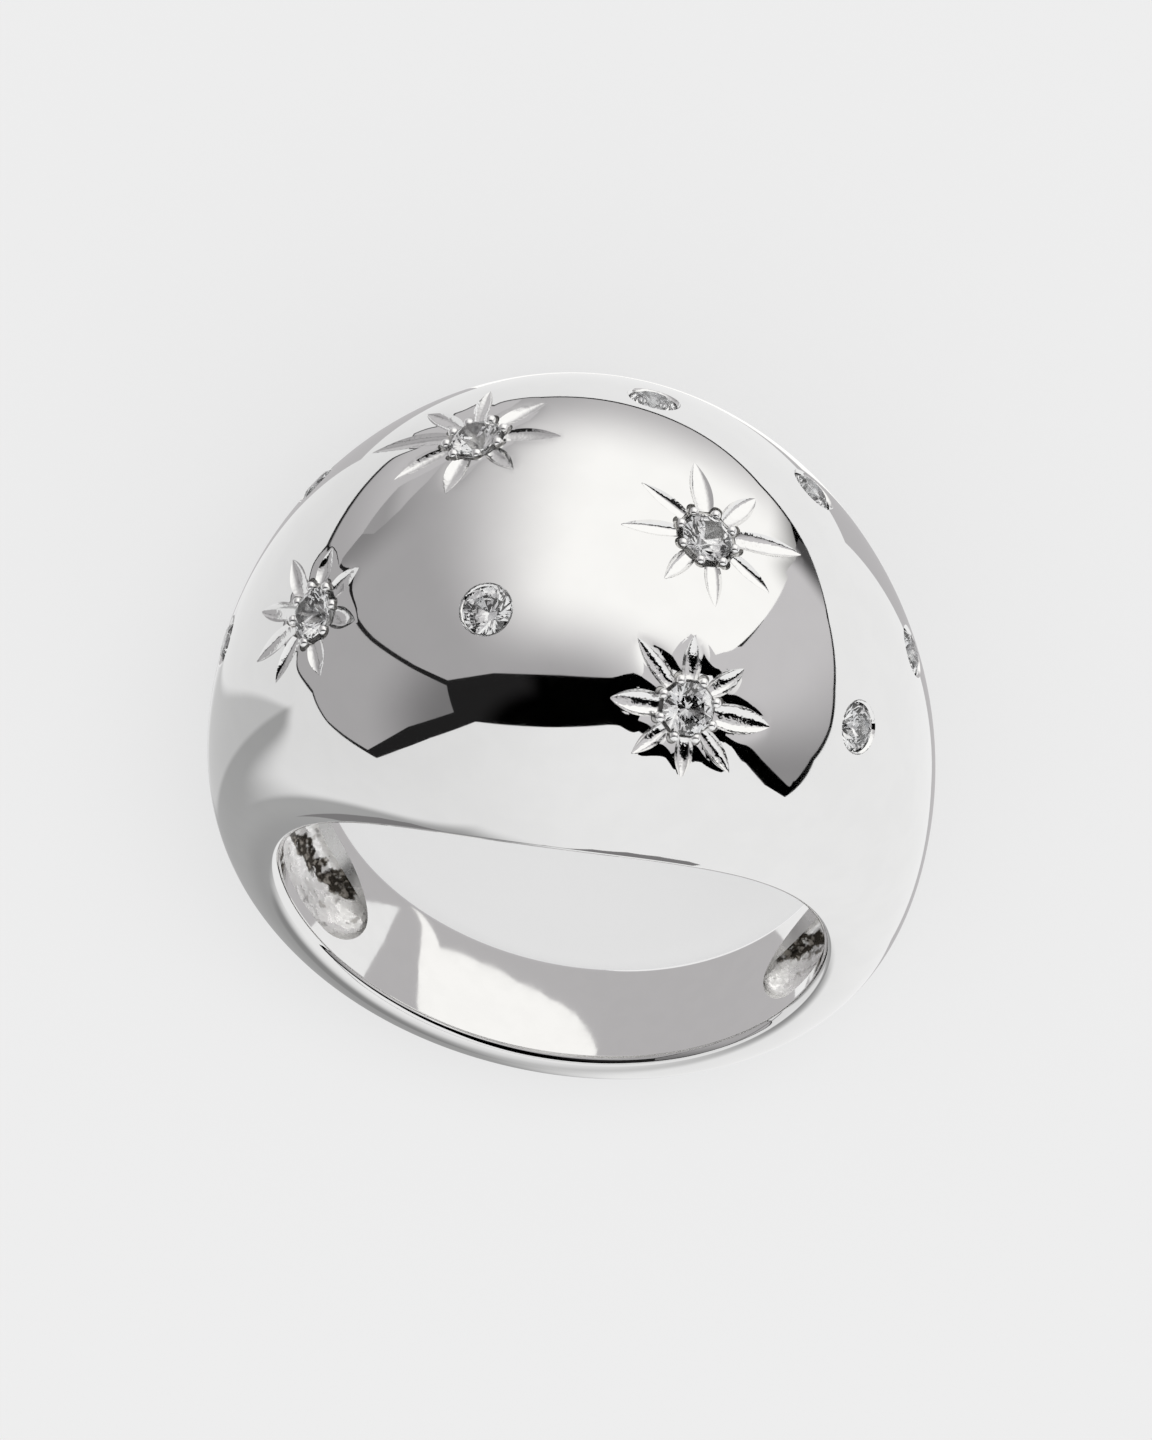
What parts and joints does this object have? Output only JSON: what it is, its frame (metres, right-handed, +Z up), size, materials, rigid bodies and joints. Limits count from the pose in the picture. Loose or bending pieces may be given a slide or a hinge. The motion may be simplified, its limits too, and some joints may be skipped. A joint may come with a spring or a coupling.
{
  "type": "dome ring",
  "caption": "Wide domed finger ring in polished silver, hollow under the dome, flush set with small round stones, some in engraved starbursts.",
  "frame": {"origin": "centre of the base of the box around the ring as it lies on its side, on the surface under it", "axes": "+X to the right across the finger hole, +Y from the dome to the back of the finger, +Z up out of the finger hole's upper side"},
  "size_m": [0.023, 0.0258, 0.017],
  "materials": {
    "silver": "mirror polished silver, bright cut engraving, rough casting skin inside the hollow",
    "stone": "clear faceted stone"
  },
  "bodies": {
    "root": {"band": "silver", "star_stone_1": "stone", "star_stone_2": "stone", "star_stone_3": "stone", "star_stone_4": "stone", "small_stone_1": "stone", "small_stone_2": "stone", "small_stone_3": "stone", "small_stone_4": "stone", "small_stone_5": "stone", "small_stone_6": "stone", "small_stone_7": "stone"}
  },
  "joints": []
}
